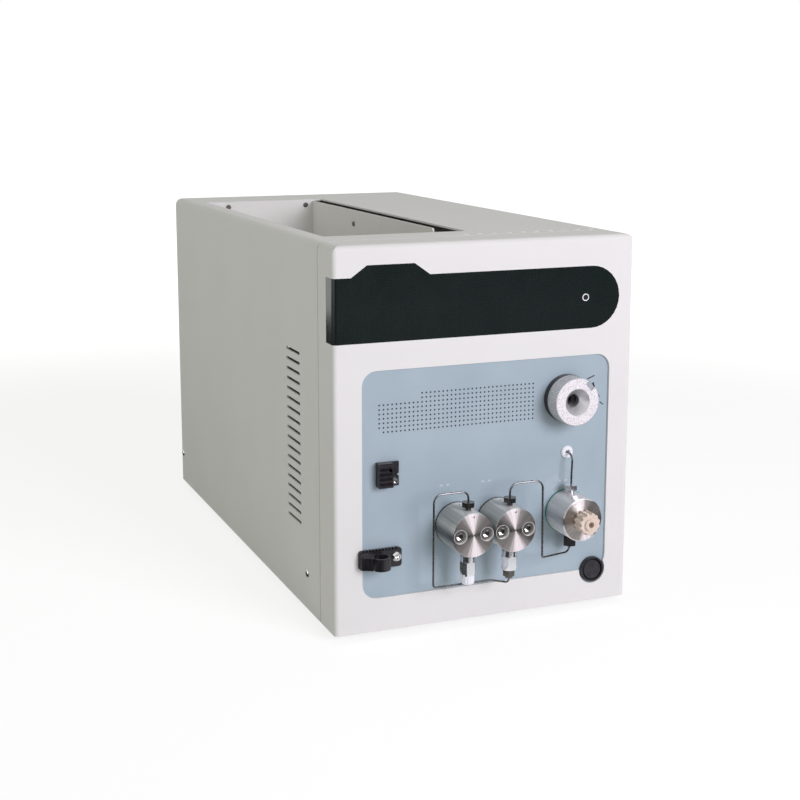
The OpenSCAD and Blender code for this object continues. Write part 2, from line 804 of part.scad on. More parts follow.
module purge_knob() {
    back = -purge_reach - stem_gap;
    front = back - purge_knob_len;
    color("#e6d5c6") casing() difference() {
        union() {
            bar_y(purge_x, head_z, front, front + 0.8, purge_knob_r - 0.8, purge_knob_r);
            bar_y(purge_x, head_z, front + 0.8, back, purge_knob_r);
            bar_y(purge_x, head_z, front - purge_boss_len, front, waste_r + 2.6);
            bar_y(purge_x, head_z, back, -purge_reach + 10, stem_r);
        }
        bar_y(purge_x, head_z, front - purge_boss_len - 1, front + 8, waste_r);
        for (i = [0:purge_flutes - 1]) translate([purge_x, 0, head_z]) rotate([0, i * 360 / purge_flutes, 0])
            bar_y(purge_knob_r + 0.3, 0, front - 1, back + 1, flute_r);
    }
}

module tube_grommet() {
    color("white") casing() difference() {
        union() {
            bar_y(grommet_x, grommet_z, panel_y - 2, panel_y - 1.2, grommet_r - 0.8, grommet_r);
            bar_y(grommet_x, grommet_z, panel_y - 1.2, panel_y, grommet_r);
            bar_y(grommet_x, grommet_z, panel_y, panel_back + 2, grommet_r - 1.7);
        }
        bar_y(grommet_x, grommet_z, panel_y - 3, panel_back + 3, tube_r + fit_gap);
        bar_y(grommet_x, grommet_z, panel_y - 3, panel_y, tube_r + 1.3);
    }
}

module injector_ring() {
    color("#161616") casing() difference() {
        bar_y(injector_x, injector_z, -ring_reach, panel_y, knob_r + 0.2);
        bar_y(injector_x, injector_z, -ring_reach - 1, panel_y + 1, shaft_r + run_gap);
    }
}

// Ridged outline of the injector knob
function ridged(r, n, h) =
    [for (i = [0:n - 1]) for (s = [0, 0.45, 0.5, 0.95]) let (q = s < 0.48 ? r : r - h)
        [q * cos(360 * (i + s) / n), q * sin(360 * (i + s) / n)]];

module injector_knob() {
    front = -knob_reach;
    back = -ring_reach - run_gap;
    hole = front + funnel_depth;
    color("#c9c9c4") casing() difference() {
        union() {
            bar_y(injector_x, injector_z, front, front + 0.7, knob_r - 0.7, knob_r);
            bar_y(injector_x, injector_z, front + 0.7, front + 1.5, knob_r);
            along_y(front + 1.5, back - 1) translate([injector_x, injector_z])
                polygon(ridged(knob_r - 0.15, knob_ridges, 0.45));
            bar_y(injector_x, injector_z, back - 1, back, knob_r);
            bar_y(injector_x, injector_z, back, panel_back + 20, shaft_r);
        }
        bar_y(injector_x, injector_z, front - 0.01, hole, funnel_r, port_r);
        bar_y(injector_x, injector_z, hole - 0.01, panel_back + 21, port_r);
        translate([injector_x, 0, injector_z]) rotate([0, -42.5, 0])
            box(knob_r - index_depth, knob_r + 2, front - 1, front + 1.8, -2, index_w - 2);
    }
}

module needle_port() {
    front = -knob_reach + funnel_depth + 5;
    color("#2a2a2a") casing() difference() {
        bar_y(injector_x, injector_z, front, panel_back + 20, port_r - fit_gap);
        bar_y(injector_x, injector_z, front - 0.01, front + 2, 2.6, needle_r);
        bar_y(injector_x, injector_z, front + 1.9, panel_back + 21, needle_r);
    }
}

module injector_valve() {
    color("#8f918e") casing() {
        difference() {
            bar_y(injector_x, injector_z, panel_back, panel_back + 40, 22);
            bar_y(injector_x, injector_z, panel_back - 1, panel_back + 20 + run_gap, shaft_r + fit_gap);
        }
        bar_y(injector_x, injector_z, panel_back + 40, panel_back + 54, 15);
        for (i = [0:5]) translate([injector_x, panel_back + 54, injector_z]) rotate([0, i * 60, 0])
            translate([9, 0, 0]) rotate([-90, 0, 0]) cylinder(h = 9, r = 3.4, $fn = 6);
    }
}

module switch_housing() {
    color("#1b1b1b") casing() difference() {
        union() {
            bar_y(switch_x, switch_z, panel_y - 3, panel_y - 2.2, switch_r - 0.8, switch_r);
            bar_y(switch_x, switch_z, panel_y - 2.2, panel_y, switch_r);
            bar_y(switch_x, switch_z, panel_y, panel_back + 26, switch_r - 1);
            box(switch_x - 5, switch_x - 3.5, panel_back + 26, panel_back + 34, switch_z - 3, switch_z + 3);
            box(switch_x + 3.5, switch_x + 5, panel_back + 26, panel_back + 34, switch_z - 3, switch_z + 3);
        }
        bar_y(switch_x, switch_z, panel_y - 4, panel_back + 5, rocker_hole_r);
        bar_x(rocker_y, switch_z, switch_x - 12, switch_x + 12, 0.8 + fit_gap);
    }
}

module switch_rocker() {
    color("#262626") casing() {
        translate([switch_x, rocker_y, switch_z]) rotate([-rocker_tilt, 0, 0]) {
            bar_y(0, 0, -2.5, -1.9, rocker_r - 0.5, rocker_r);
            bar_y(0, 0, -1.9, 4, rocker_r);
        }
        bar_x(rocker_y, switch_z, switch_x - 9.7, switch_x + 9.7, 0.8);
    }
}

module upper_clip() {
    z0 = upper_clip_z;
    z1 = z0 + 19.4;
    x0 = clip_x;
    x1 = x0 + 18.4;
    color("#17161a") casing() difference() {
        union() {
            along_y(panel_y - 2.6, panel_y)
                polygon([[x0, z0], [x1, z0], [x1, z0 + 7.5], [x1 - 1.6, z0 + 9], [x1, z0 + 10.5],
                         [x1, z1], [x0, z1]]);
            along_x(x0, x0 + 11.6)
                polygon([[panel_y, z0], for (i = [0:4]) each [[-6.2, z0 + i * 3.88], [-7, z0 + i * 3.88 + 0.7],
                    [-7, z0 + i * 3.88 + 2.4], [-5.6, z0 + i * 3.88 + 3.1]], [-5.6, z1], [panel_y, z1]]);
        }
        bar_y(x0 + 14.6, z0 + 4, -4, panel_y + 1, 1.4);
        bar_y(x0 + 9.4, z0 + 13.8, -9, -2, 1.2);
    }
}

module lower_clip() {
    z0 = lower_clip_z;
    x0 = clip_x - 15.6;
    cx = clip_x + 0.3;
    cy = -clip_wall - clip_bore_r - 1.2;
    ring_r = clip_bore_r + clip_wall;
    ring_z = z0 + 3.5;
    color("#17161a") casing() difference() {
        union() {
            along_y(-3, 0)
                polygon(round_rect(x0, z0 + 2, x0 + 35.6, z0 + 17.4, 2.4));
            along_y(-0.01, panel_y)
                polygon(round_rect(panel_x + 0.5, z0 + 3, x0 + 35, z0 + 16.4, 1.5));
            bar_z(cx, cy, ring_z, ring_z + clip_h, ring_r);
            translate([0, 0, ring_z]) linear_extrude(clip_h)
                polygon([[x0 + 0.5, -2], [x0 + 0.5, -6.5], [x0 + 1.6, -8],
                         [cx - ring_r * 0.9, cy - ring_r * 0.45], [cx, cy],
                         [cx + ring_r, cy], [cx + ring_r, -2]]);
        }
        bar_z(cx, cy, ring_z - 1, ring_z + clip_h + 1, clip_bore_r);
        translate([cx, cy, 0]) rotate([0, 0, 205])
            box(0, ring_r + 3, -clip_mouth / 2, clip_mouth / 2, ring_z - 1, ring_z + clip_h + 1);
        for (i = [0:2]) bar_z(x0 + 3.4 + i * 2.6, -8.9 - i * 1.5, ring_z - 1, ring_z + clip_h + 1, 0.5);
        for (i = [0:10]) box(x0 + 3 + i * 2.7, x0 + 4.3 + i * 2.7, -4, -1, z0 + 16, z0 + 18);
        bar_y(x0 + 31.2, z0 + 10, -4, panel_y + 1, 1.8);
    }
}

module clip_screws() {
    color("silver") casing() {
        translate([clip_x + 14.6, panel_y - 2.6, upper_clip_z + 4]) rotate([90, 0, 0]) difference() {
            cylinder(h = 2, r = 2.5);
            translate([0, 0, 0.8]) cylinder(h = 2, r = 1.4, $fn = 6);
        }
        translate([clip_x + 15.6, -3, lower_clip_z + 10]) rotate([90, 0, 0]) pan_head(3.9, 2.4);
    }
}

module pump_drive() {
    x0 = drive_x;
    x1 = drive_x + drive_w;
    color("#9a9c9a") casing() difference() {
        union() {
            box(x0, x1, panel_back, panel_back + drive_l, head_z - drive_h / 2, head_z + drive_h / 2);
            box(x0 + 8, x1 - 8, bezel_d + 4, panel_back + drive_l - 8, floor_t, head_z - drive_h / 2);
        }
        for (x = [head_x, head2_x], s = [-1, 1])
            bar_y(x + s * head_screw_dx, head_z, panel_back - 1, panel_back + 9, 3 + fit_gap);
        bar_x(cam_y, head_z, x1 - 30, x1 + 1, cam_shaft_r + fit_gap);
    }
}

module pulley(y, r, shaft_r, x_in) {
    bar_x(y, head_z, pulley_x, pulley_x + pulley_w, r);
    bar_x(y, head_z, pulley_x - 1.5, pulley_x, r + 2.4);
    bar_x(y, head_z, pulley_x + pulley_w, pulley_x + pulley_w + 1.5, r + 2.4);
    bar_x(y, head_z, x_in, pulley_x + pulley_w + 4, shaft_r);
}

module cam_pulley() {
    color("#b9bbb8") casing() pulley(cam_y, cam_pulley_r, cam_shaft_r, pulley_x - pulley_gap - 26);
}

module motor_pulley() {
    color("#b9bbb8") casing() pulley(motor_y, motor_pulley_r, motor_shaft_r, motor_x1 - 10);
}

module motor() {
    color("#2b2c2e") casing() difference() {
        along_x(motor_x1 - motor_l, motor_x1)
            polygon(round_rect(motor_y - motor_w / 2, head_z - motor_w / 2, motor_y + motor_w / 2,
                               head_z + motor_w / 2, 5));
        bar_x(motor_y, head_z, motor_x1 - 12, motor_x1 + 1, motor_shaft_r + fit_gap);
    }
}

module motor_bracket() {
    m = motor_w / 2 + 3;
    color("silver") casing() difference() {
        union() {
            box(motor_x1, motor_x1 + 3, motor_y - m, motor_y + m, floor_t, head_z + m);
            box(motor_x1 + 3, motor_x1 + 24, motor_y - m, motor_y + m, floor_t, floor_t + 3);
        }
        bar_x(motor_y, head_z, motor_x1 - 1, motor_x1 + 4, 6);
    }
}

// Closed line round both pulleys at distance e from their rims
function belt_line(e) =
    let (a = acos((cam_pulley_r - motor_pulley_r) / belt_span))
    concat(arc(cam_y, head_z, cam_pulley_r + e, a, 360 - a, 40),
           arc(motor_y, head_z, motor_pulley_r + e, -a, a, 24));

module drive_belt() {
    color("#141414") casing() difference() {
        along_x(pulley_x + 0.5, pulley_x + 0.5 + belt_w) polygon(belt_line(1.7));
        along_x(pulley_x, pulley_x + 1 + belt_w) polygon(belt_line(0.1));
    }
}

module power_supply() {
    x0 = psu_x;
    y0 = inner_y1 - psu_l;
    top = floor_t + psu_h;
    fins = 7;
    pitch = (psu_w - 12) / fins;
    color("#8b8e8c") casing() {
        box(x0, x0 + psu_w, y0, inner_y1, floor_t, top);
        for (i = [0:fins - 1])
            box(x0 + 8 + i * pitch, x0 + 13 + i * pitch, y0 + 10, inner_y1 - 10, top, top + 1);
    }
}

module control_board() {
    x0 = board_x;
    x1 = board_x + board_w;
    y0 = inner_y1 - board_l;
    top = board_z + board_t;
    color("#2f6b45") casing() {
        box(x0, x1, y0, inner_y1, board_z, top);
        box(x0 + 10, x0 + board_w / 3, y0 + 12, y0 + 50, top, top + 18);
        box(x0 + board_w / 2, x0 + board_w / 2 + 20, y0 + 20, y0 + 40, top, top + 2.4);
        for (i = [0:2]) bar_z(x0 + 20 + i * 24, y0 + 80, top, top + 24, 8);
        box(x0 + 10, x1 - 10, inner_y1 - 30, inner_y1 - 6, top, top + 10);
    }
}

module board_standoffs() {
    color("silver") casing()
        for (x = [board_x + 6, board_x + board_w - 6], y = [inner_y1 - board_l + 6, inner_y1 - 6])
            bar_z(x, y, floor_t, board_z, 3);
}

module display_board() {
    x0 = bezel_t + 25;
    color("#2f6b45") casing()
        box(x0, window_end - window_h, bezel_t, bezel_t + board_t, window_z + 2, window_z + window_h - 3);
}

module fan_frame() {
    h = fan_size / 2;
    color("#1a1a1a") casing() difference() {
        union() {
            difference() {
                along_y(fan_y, rear_y) polygon(round_rect(fan_x - h, fan_z - h, fan_x + h, fan_z + h, 4));
                bar_y(fan_x, fan_z, fan_y - 1, rear_y + 1, rotor_r + 1);
            }
            bar_y(fan_x, fan_z, fan_y, fan_y + 3, 14);
            for (a = [0:3]) translate([fan_x, 0, fan_z]) rotate([0, 45 + a * 90, 0])
                box(12, h - 1, fan_y, fan_y + 3, -2, 2);
        }
        bar_y(fan_x, fan_z, fan_y - 1, fan_y + 4, 2 + fit_gap);
    }
}

module fan_rotor() {
    y0 = fan_y + 3 + run_gap;
    y1 = rear_y - 3;
    color("#222222") casing() {
        bar_y(fan_x, fan_z, y0, y1, 15);
        bar_y(fan_x, fan_z, fan_y + 0.5, y0, 2);
        intersection() {
            for (i = [0:6]) translate([fan_x, (y0 + y1) / 2, fan_z]) rotate([0, i * 360 / 7, 0])
                rotate([40, 0, 0]) translate([13, -11, -0.8]) cube([rotor_r, 22, 1.6]);
            bar_y(fan_x, fan_z, y0, y1, rotor_r);
        }
    }
}

module fan_guard() {
    h = fan_size / 2;
    color("silver") casing() {
        for (r = [10, 21, 32]) translate([fan_x, body_d + 1.6, fan_z]) rotate([-90, 0, 0]) rotate_extrude()
            translate([r, 0]) square([1.6, guard_reach - 1.6]);
        for (a = [0:3]) translate([fan_x, 0, fan_z]) rotate([0, 45 + a * 90, 0])
            box(10.8, rotor_r + 12, body_d, body_d + 1.6, -0.8, 0.8);
    }
}

module mains_inlet() {
    x = socket_x;
    z = socket_z;
    color("#171717") casing() {
        difference() {
            union() {
                along_y(body_d, body_d + 2.5) polygon(round_rect(x - 25, z - 12, x + 25, z + 12, 5));
                box(x - 14, x + 14, rear_y - 22, body_d, z - 10, z + 10);
            }
            along_y(body_d - 15, body_d + 3)
                polygon([[x - 12, z - 8], [x + 12, z - 8], [x + 12, z + 4], [x + 8, z + 8],
                         [x - 8, z + 8], [x - 12, z + 4]]);
        }
        for (p = [[-7, -2], [7, -2], [0, 2.5]])
            box(x + p[0] - 1, x + p[0] + 1, body_d - 15, body_d - 5, z + p[1] - 2, z + p[1] + 2);
    }
}

module data_port() {
    x = socket_x + 50;
    color("silver") casing() {
        along_y(body_d, body_d + 1)
            polygon(round_rect(x - 15.4, socket_z - 6.2, x + 15.4, socket_z + 6.2, 1.5));
        along_y(body_d + 1, body_d + 3.8)
            polygon([[x - 7.6, socket_z - 4], [x + 7.6, socket_z - 4],
                     [x + 9, socket_z + 4], [x - 9, socket_z + 4]]);
        box(x - 7.8, x + 7.8, rear_y - 8, body_d, socket_z - 4.8, socket_z + 4.8);
    }
}

module rear_screws() {
    h = fan_size / 2 - 4;
    color("silver") casing() {
        for (p = [[12, 12], [body_w - 12, 12], [12, body_h - 14], [body_w - 12, body_h - 14],
                  [12, body_h / 2], [body_w - 12, body_h / 2]])
            translate([p[0], body_d, p[1]]) rotate([-90, 0, 0]) pan_head(3, 1.6);
    }
}

base_chassis();
cover();
rear_panel();
front_bezel();
display_window();
status_led();
front_panel();
bottle_well();
well_screws();
cover_screws();
side_rivets();
feet();
head_gaskets();
head_1();
head_2();
head_screws();
outlet_nuts();
check_valves();
inlet_nut();
crossover_nut();
tube_crossover();
tube_to_purge();
tube_from_injector();
purge_gasket();
purge_body();
purge_top_nut();
purge_low_nut();
purge_knob();
tube_grommet();
injector_ring();
injector_knob();
needle_port();
injector_valve();
switch_housing();
switch_rocker();
upper_clip();
lower_clip();
clip_screws();
pump_drive();
cam_pulley();
motor_pulley();
motor();
motor_bracket();
drive_belt();
power_supply();
control_board();
board_standoffs();
display_board();
fan_frame();
fan_rotor();
fan_guard();
mains_inlet();
data_port();
rear_screws();
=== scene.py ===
import math
import bpy
import numpy as np
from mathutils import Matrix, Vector


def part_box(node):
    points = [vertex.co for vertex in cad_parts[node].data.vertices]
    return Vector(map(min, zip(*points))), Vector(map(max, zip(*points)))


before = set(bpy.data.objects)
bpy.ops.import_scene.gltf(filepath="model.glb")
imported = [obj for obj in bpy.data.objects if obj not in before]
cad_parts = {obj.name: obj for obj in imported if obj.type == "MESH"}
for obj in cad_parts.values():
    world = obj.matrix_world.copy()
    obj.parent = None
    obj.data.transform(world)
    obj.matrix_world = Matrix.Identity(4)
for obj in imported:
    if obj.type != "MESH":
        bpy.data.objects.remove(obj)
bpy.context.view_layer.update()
scene = bpy.context.scene
scene.view_settings.view_transform = "Standard"

# Casing coordinates in mm: x from the left side, y from the bezel's face, z from the casing's base
origin = np.array([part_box("cover")[0][0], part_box("front_bezel")[0][1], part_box("cover")[0][2]])


# Casing millimetres to scene metres
def at(x, y, z):
    return tuple(float(v) for v in origin + np.array([x, y, z]) / 1000)


# Centre of a node's box in casing millimetres
def middleOf(node):
    low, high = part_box(node)
    return ((np.array(low) + np.array(high)) / 2 - origin) * 1000


# sRGB hex to linear: below 0.04045 a share is divided by 12.92, above it ((share + 0.055) / 1.055) to the power 2.4
def hexColour(code):
    shares = [int(code[i:i + 2], 16) / 255 for i in (1, 3, 5)]
    return (*[s / 12.92 if s <= 0.04045 else ((s + 0.055) / 1.055) ** 2.4 for s in shares], 1.0)


# Adds a node: settings are its own properties, inputs are values or sockets to link from
def addNode(tree, kind, inputs=None, **settings):
    node = tree.nodes.new(kind)
    for key, value in settings.items():
        setattr(node, key, value)
    for socket, value in (inputs or {}).items():
        if isinstance(value, bpy.types.NodeSocket):
            tree.links.new(value, node.inputs[socket])
        else:
            node.inputs[socket].default_value = value
    return node


def newMaterial(name):
    material = bpy.data.materials.new(name)
    material.use_nodes = True
    tree = material.node_tree
    return material, tree, next(n for n in tree.nodes if n.type == "BSDF_PRINCIPLED")


# Object coordinates as casing millimetres, so that every pattern below is sized in mm
def casingPoint(tree):
    point = addNode(tree, "ShaderNodeTexCoord").outputs["Object"]
    return addNode(tree, "ShaderNodeVectorMath", {0: point, 1: (1000, 1000, 1000), 2: tuple(-1000 * origin)},
                   operation="MULTIPLY_ADD").outputs[0]


# Puts a material on a CAD node, in all its slots
def wear(node, material):
    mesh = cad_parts[node].data
    if not mesh.materials:
        mesh.materials.append(material)
    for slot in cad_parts[node].material_slots:
        slot.material = material


# Noise keeps near a half, so these shares of its range are stretched over a whole mix
cloudSpan = (0.35, 0.65)
driftSpan = (0.3, 0.7)


# Two near colours drift into each other in clouds of cloud mm
def tint(tree, point, colours, cloud):
    noise = addNode(tree, "ShaderNodeTexNoise", {"Vector": point, "Scale": 1 / cloud, "Detail": 4.0})
    share = addNode(tree, "ShaderNodeMapRange", {"Value": noise.outputs["Fac"], "From Min": cloudSpan[0],
                                                 "From Max": cloudSpan[1]})
    return addNode(tree, "ShaderNodeMix", {"Factor": share.outputs["Result"], "A": hexColour(colours[0]),
                                           "B": hexColour(colours[1])}, data_type="RGBA").outputs["Result"]


# A value drifts between low and high in patches of patch mm
def drift(tree, point, low, high, patch):
    noise = addNode(tree, "ShaderNodeTexNoise", {"Vector": point, "Scale": 1 / patch, "Detail": 3.0})
    return addNode(tree, "ShaderNodeMapRange", {"Value": noise.outputs["Fac"], "From Min": driftSpan[0],
                                                "From Max": driftSpan[1], "To Min": low,
                                                "To Max": high}).outputs["Result"]


# Grain as a bump: noise of size mm across and height mm deep, on top of an earlier bump if there is one
def grained(tree, point, size, height, strength, before=None):
    noise = addNode(tree, "ShaderNodeTexNoise", {"Vector": point, "Scale": 1 / size, "Detail": 2.0,
                                                 "Roughness": 0.55})
    under = {"Normal": before} if before else {}
    return addNode(tree, "ShaderNodeBump", {"Height": noise.outputs["Fac"], "Strength": strength,
                                            "Distance": height / 1000, **under}).outputs["Normal"]


# What each plain finish is, how it was made and what that gives the eye.
# rough is a pair that drifts, grain is its size and height in mm, cloud the size in mm of its colour drift.
plainFinishes = {
    # epoxy powder coat on steel sheet, cast bezel and rivet heads: fine orange peel, nearly matt
    "powderCoatGrey": dict(colours=("#e5e4e1", "#e7e6e3"), rough=(0.64, 0.7), grain=(1.0, 0.03), strength=0.5,
                           cloud=60, ior=1.5,
                           nodes=["cover", "front_bezel", "bottle_well", "rear_panel", "side_rivets"]),
    # zinc-plated sheet: cool grey, faintly mottled
    "zincPlatedSheet": dict(colours=("#b4b6b5", "#c3c5c4"), rough=(0.34, 0.46), grain=(1.5, 0.01), strength=0.4,
                            cloud=9, metallic=1.0,
                            nodes=["base_chassis", "motor_bracket", "power_supply"]),
    # bright zinc-plated screws: crisp small highlights
    "zincPlatedScrew": dict(colours=("#cfcfcb", "#dededa"), rough=(0.2, 0.3), grain=(0.5, 0.01), strength=0.4,
                            cloud=2, metallic=1.0,
                            nodes=["cover_screws", "clip_screws", "board_standoffs",
                                   "fan_guard", "rear_screws"]),
    # polished stainless socket screws: almost mirror heads
    "polishedStainlessScrew": dict(colours=("#dcdad6", "#e6e4e0"), rough=(0.12, 0.18), grain=(0.6, 0.001),
                                   strength=0.3, cloud=2, metallic=1.0,
                                   nodes=["head_screws"]),
    # ground and polished stainless fittings: flats flash light or dark
    "polishedStainlessFitting": dict(colours=("#dcdde1", "#e1e2e6"), rough=(0.16, 0.2), grain=(2.0, 0.001),
                                     strength=0.1, cloud=12, metallic=1.0,
                                     nodes=["check_valves", "purge_top_nut"]),
    # oiled dark stainless nuts and screws: deep grey with thin bright edges
    "oiledStainlessNut": dict(colours=("#62605d", "#696763"), rough=(0.2, 0.26), grain=(0.8, 0.002), strength=0.2,
                              cloud=5, metallic=1.0,
                              nodes=["outlet_nuts", "crossover_nut", "well_screws", "injector_valve", "data_port"]),
    # chemically blackened steel: near black, a little waxy
    "blackenedSteel": dict(colours=("#2a2a2b", "#363637"), rough=(0.3, 0.42), grain=(0.4, 0.01), strength=0.4,
                           cloud=2, metallic=0.6,
                           nodes=["purge_low_nut"]),
    # drawn stainless capillary: dull dark grey with a light line along it
    "drawnStainlessCapillary": dict(colours=("#6b6b6c", "#7d7d7e"), rough=(0.22, 0.32), grain=(0.4, 0.006),
                                    strength=0.3, cloud=5, metallic=1.0,
                                    nodes=["tube_crossover", "tube_to_purge", "tube_from_injector"]),
    # aluminium castings, as they leave the mould
    "castAluminium": dict(colours=("#8f918f", "#a2a4a2"), rough=(0.45, 0.6), grain=(1.0, 0.05), strength=0.5,
                          cloud=8, metallic=1.0,
                          nodes=["pump_drive", "cam_pulley", "motor_pulley"]),
    # black baked enamel on the motor
    "bakedEnamelBlack": dict(colours=("#212224", "#2c2d30"), rough=(0.4, 0.5), grain=(0.8, 0.02), strength=0.4,
                             cloud=8, ior=1.5,
                             nodes=["motor"]),
    # hard-anodised ring: black with a dry sheen
    "hardAnodisedBlack": dict(colours=("#101011", "#18181a"), rough=(0.3, 0.4), grain=(0.4, 0.01), strength=0.4,
                              cloud=5, ior=1.6,
                              nodes=["injector_ring"]),
    # glass-filled nylon from a mould: black with a faint grain and soft highlights on the ribs
    "mouldedNylonBlack": dict(colours=("#151317", "#211e23"), rough=(0.3, 0.42), grain=(0.7, 0.03), strength=0.5,
                              cloud=6, ior=1.53,
                              nodes=["switch_housing", "switch_rocker", "upper_clip", "lower_clip", "needle_port",
                                     "fan_frame", "fan_rotor", "mains_inlet"]),
    # acetal turned from rod: cool white, a little translucent to the eye
    "turnedAcetalWhite": dict(colours=("#eff2f9", "#f6f8fc"), rough=(0.3, 0.4), grain=(0.4, 0.01), strength=0.3,
                              cloud=4, ior=1.48,
                              nodes=["inlet_nut", "tube_grommet"]),
    # PEEK turned from rod: tan, slightly waxy, with fine tool marks
    "turnedPeekTan": dict(colours=("#dcc8b8", "#e9d9cb"), rough=(0.32, 0.42), grain=(0.4, 0.02), strength=0.4,
                          cloud=4, ior=1.65,
                          nodes=["purge_knob"]),
    # nitrile rubber: dull black
    "nitrileRubberBlack": dict(colours=("#0d0d0d", "#171717"), rough=(0.6, 0.75), grain=(0.6, 0.03), strength=0.5,
                               cloud=4, ior=1.52,
                               nodes=["feet", "head_gaskets", "drive_belt"]),
    # filled PTFE gasket: teal and waxy
    "filledPtfeTeal": dict(colours=("#0f7a74", "#178f88"), rough=(0.4, 0.5), grain=(0.5, 0.01), strength=0.3,
                           cloud=4, ior=1.4,
                           nodes=["purge_gasket"]),
    # glass-epoxy circuit board under green mask
    "maskedEpoxyGreen": dict(colours=("#24583a", "#2d6b47"), rough=(0.3, 0.4), grain=(1.2, 0.02), strength=0.4,
                             cloud=12, ior=1.5,
                             nodes=["control_board", "display_board"]),
}


def plainFinish(name, colours, rough, grain, strength, cloud, metallic=0.0, ior=None, nodes=()):
    material, tree, shader = newMaterial(name)
    point = casingPoint(tree)
    tree.links.new(tint(tree, point, colours, cloud), shader.inputs["Base Color"])
    tree.links.new(drift(tree, point, *rough, cloud / 2), shader.inputs["Roughness"])
    tree.links.new(grained(tree, point, *grain, strength), shader.inputs["Normal"])
    shader.inputs["Metallic"].default_value = metallic
    if ior:
        shader.inputs["IOR"].default_value = ior
    for node in nodes:
        wear(node, material)


for name, settings in plainFinishes.items():
    plainFinish(name, **settings)
print("stage: plain finishes made")

# Pump heads: 316 stainless faced on a lathe. The tool leaves rings round the axis, which spread light across
# them, so the face shows bright and dark wedges; the rings' pitch of 0.1 mm is drawn as 0.7 mm to show.
# Each screw sits in a counterbore. Its mouth has no chamfer in the solid, so a painted highlight stands there:
# a bright ring with little metal, in place of the light that a chamfer would catch.
headFace = {"colours": ("#9c9694", "#bfb9b7"), "sideColours": ("#a4a6a5", "#bcbebd"), "rough": (0.36, 0.42),
            "patch": 5, "ring": 0.7, "ringHeight": 0.004, "anisotropy": 1.0, "streaks": 16, "rim": 17.3,
            "counterbore": 11.4, "mouth": 5.45, "mouthWidth": 0.22, "mouthHighlightColour": "#f6f4f2"}

# Purge valve's body: the same steel, polished after turning, so that its wedges are closer to a mirror
purgeFace = {"colours": ("#c3bebb", "#d6d1ce"), "sideColours": ("#d2cfcd", "#e0dddb"), "rough": (0.28, 0.34),
             "patch": 5, "ring": 1.0, "ringHeight": 0.002, "anisotropy": 0.98, "streaks": 9, "rim": 17.0}


# Steel turned about an axis along Y at axis = (x, z). Within the rim the rough direction is the unit vector
# from the axis to the point, on the outside it is the axis itself; colour drifts with that unit vector alone,
# which draws streaks from the axis outwards and then along the side; rings are the sine of the distance.
# A counterbore's mouth is where the distance to its axis, with x folded at the middle, is within its width;
# the painted highlight goes there.
def turnedFinish(name, axis, colours, sideColours, rough, patch, ring, ringHeight, anisotropy, streaks, rim,
                 counterbore=0.0, mouth=0.0, mouthWidth=0.0, mouthHighlightColour="#ffffff"):
    material, tree, shader = newMaterial(name)
    point = casingPoint(tree)
    away = addNode(tree, "ShaderNodeVectorMath", {0: point, 1: (-axis[0], 0, -axis[1])}, operation="ADD").outputs[0]
    flat = addNode(tree, "ShaderNodeVectorMath", {0: away, 1: (1, 0, 1)}, operation="MULTIPLY").outputs[0]
    radius = addNode(tree, "ShaderNodeVectorMath", {0: flat}, operation="LENGTH").outputs["Value"]
    outward = addNode(tree, "ShaderNodeVectorMath", {0: flat}, operation="NORMALIZE").outputs[0]
    onSide = addNode(tree, "ShaderNodeMath", {0: radius, 1: rim}, operation="GREATER_THAN").outputs[0]
    across = addNode(tree, "ShaderNodeMix", {"Factor": onSide, "A": outward, "B": (0, 1, 0)},
                     data_type="VECTOR").outputs["Result"]
    tree.links.new(across, shader.inputs["Tangent"])
    colour = addNode(tree, "ShaderNodeMix", {"Factor": onSide, "A": tint(tree, outward, colours, 1 / streaks),
                                             "B": tint(tree, outward, sideColours, 1 / streaks)},
                     data_type="RGBA").outputs["Result"]
    shader.inputs["Metallic"].default_value = 1.0
    if counterbore:
        folded = addNode(tree, "ShaderNodeVectorMath", {0: flat}, operation="ABSOLUTE").outputs[0]
        beside = addNode(tree, "ShaderNodeVectorMath", {0: folded, 1: (-counterbore, 0, 0)},
                         operation="ADD").outputs[0]
        reach = addNode(tree, "ShaderNodeVectorMath", {0: beside}, operation="LENGTH").outputs["Value"]
        # Painted highlight: a bright, nearly non-metal ring at each counterbore's mouth
        onMouthHighlight = addNode(tree, "ShaderNodeMath", {0: reach, 1: mouth, 2: mouthWidth},
                          operation="COMPARE").outputs[0]
        colour = addNode(tree, "ShaderNodeMix", {"Factor": onMouthHighlight, "A": colour, "B": hexColour(mouthHighlightColour)},
                         data_type="RGBA").outputs["Result"]
        metallic = addNode(tree, "ShaderNodeMapRange", {"Value": onMouthHighlight, "To Min": 1.0, "To Max": 0.1})
        tree.links.new(metallic.outputs["Result"], shader.inputs["Metallic"])
    tree.links.new(colour, shader.inputs["Base Color"])
    tree.links.new(drift(tree, point, *rough, patch), shader.inputs["Roughness"])
    turns = addNode(tree, "ShaderNodeMath", {0: radius, 1: 2 * math.pi / ring}, operation="MULTIPLY").outputs[0]
    wave = addNode(tree, "ShaderNodeMath", {0: turns}, operation="SINE").outputs[0]
    rings = addNode(tree, "ShaderNodeBump", {"Height": wave, "Strength": 0.3, "Distance": ringHeight / 1000})
    tree.links.new(rings.outputs["Normal"], shader.inputs["Normal"])
    shader.inputs["Anisotropic"].default_value = anisotropy
    return material


for node in ("head_1", "head_2"):
    centre = middleOf(node)
    wear(node, turnedFinish("turnedStainless." + node, (centre[0], centre[2]), **headFace))
centre = middleOf("purge_body")
wear("purge_body", turnedFinish("polishedTurnedStainless", (centre[0], centre[2]), **purgeFace))
print("stage: turned steel made")

